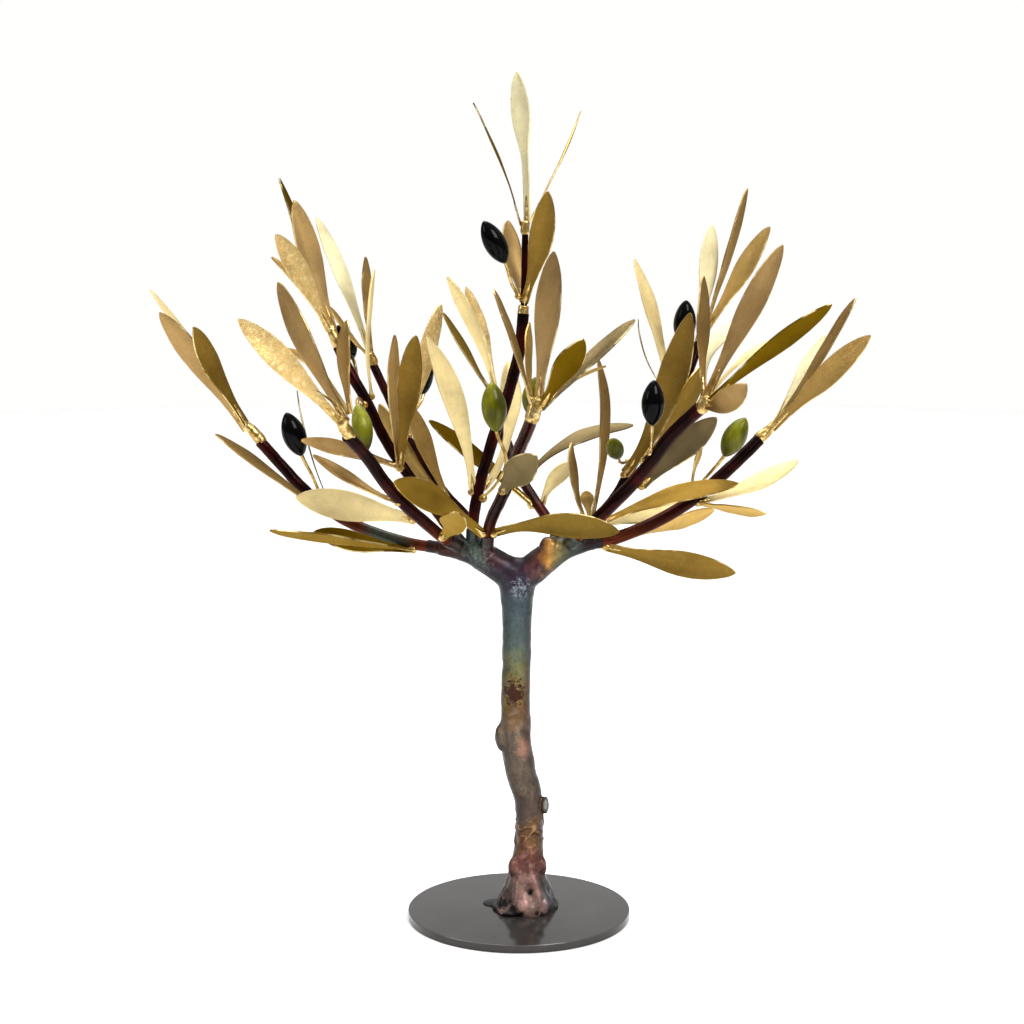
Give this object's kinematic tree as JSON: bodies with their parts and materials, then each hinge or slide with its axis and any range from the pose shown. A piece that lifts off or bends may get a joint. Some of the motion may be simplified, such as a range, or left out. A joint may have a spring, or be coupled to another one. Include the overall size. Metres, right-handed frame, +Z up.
{
  "type": "metal olive tree sculpture",
  "caption": "Small olive tree made of metal: a forked bronze trunk on a round steel base, dark rods as branches, brass leaves brazed on and enamelled olives on wire stalks.",
  "frame": {"origin": "centre of the round base's underside, on the surface that it stands on", "axes": "+Z up along the trunk, front of the tree towards -Y, +X to the right seen from the front"},
  "size_m": [0.349, 0.217, 0.4106],
  "materials": {
    "steel_disc": "blackened steel, satin, faintly mirror-like",
    "bronze": "heat-patinated bronze: dark maroon and blue-grey at the fork, golden brown below, pinkish copper at the foot",
    "dark_rod": "dark red-black patina, satin sheen",
    "brass_leaf": "hand-worked brass, satin, from pale gold to olive brown",
    "black_enamel": "gloss black enamel",
    "green_enamel": "gloss olive-green enamel, shaded darker to one side"
  },
  "bodies": {
    "root": {"base_plate": "steel_disc", "trunk": "bronze", "rod_far_left": "dark_rod", "rod_left_front": "dark_rod", "rod_left_middle": "dark_rod", "rod_left_back": "dark_rod", "rod_centre_lower": "dark_rod", "rod_centre_upper": "dark_rod", "rod_front": "dark_rod", "rod_back": "dark_rod", "rod_right_front": "dark_rod", "rod_right_back": "dark_rod", "rod_far_right": "dark_rod", "leaves_far_left": "brass_leaf", "leaves_left_front": "brass_leaf", "leaves_left_middle": "brass_leaf", "leaves_left_back": "brass_leaf", "leaves_top": "brass_leaf", "leaves_centre": "brass_leaf", "leaves_front": "brass_leaf", "leaves_back": "brass_leaf", "leaves_right_front": "brass_leaf", "leaves_right_back": "brass_leaf", "leaves_far_right": "brass_leaf", "leaf_pair_far_left": "brass_leaf", "leaf_left_slim": "brass_leaf", "leaf_left_pale": "brass_leaf", "leaf_pair_left_low": "brass_leaf", "leaf_left_upright": "brass_leaf", "leaf_trio_left": "brass_leaf", "leaf_left_golden": "brass_leaf", "leaf_centre_pale": "brass_leaf", "leaf_pair_left_inner": "brass_leaf", "leaf_pair_behind": "brass_leaf", "leaf_front_big": "brass_leaf", "leaf_front_stub": "brass_leaf", "leaf_front_grey": "brass_leaf", "leaf_centre_hidden": "brass_leaf", "leaf_back_long": "brass_leaf", "leaf_trio_right": "brass_leaf", "leaf_front_low": "brass_leaf", "leaf_pair_right_upright": "brass_leaf", "leaf_right_big": "brass_leaf", "leaf_right_slim": "brass_leaf", "leaf_right_under": "brass_leaf", "leaf_pair_right_inner": "brass_leaf", "leaf_pair_right_low": "brass_leaf", "leaf_right_behind": "brass_leaf", "leaf_right_lowest": "brass_leaf", "olive_black_left": "black_enamel", "olive_black_left_middle": "black_enamel", "olive_black_middle": "black_enamel", "olive_black_top": "black_enamel", "olive_black_right_front": "black_enamel", "olive_black_right_back": "black_enamel", "olive_green_left": "green_enamel", "olive_green_centre": "green_enamel", "olive_green_front": "green_enamel", "olive_green_small": "green_enamel", "olive_green_right": "green_enamel"}
  },
  "joints": []
}
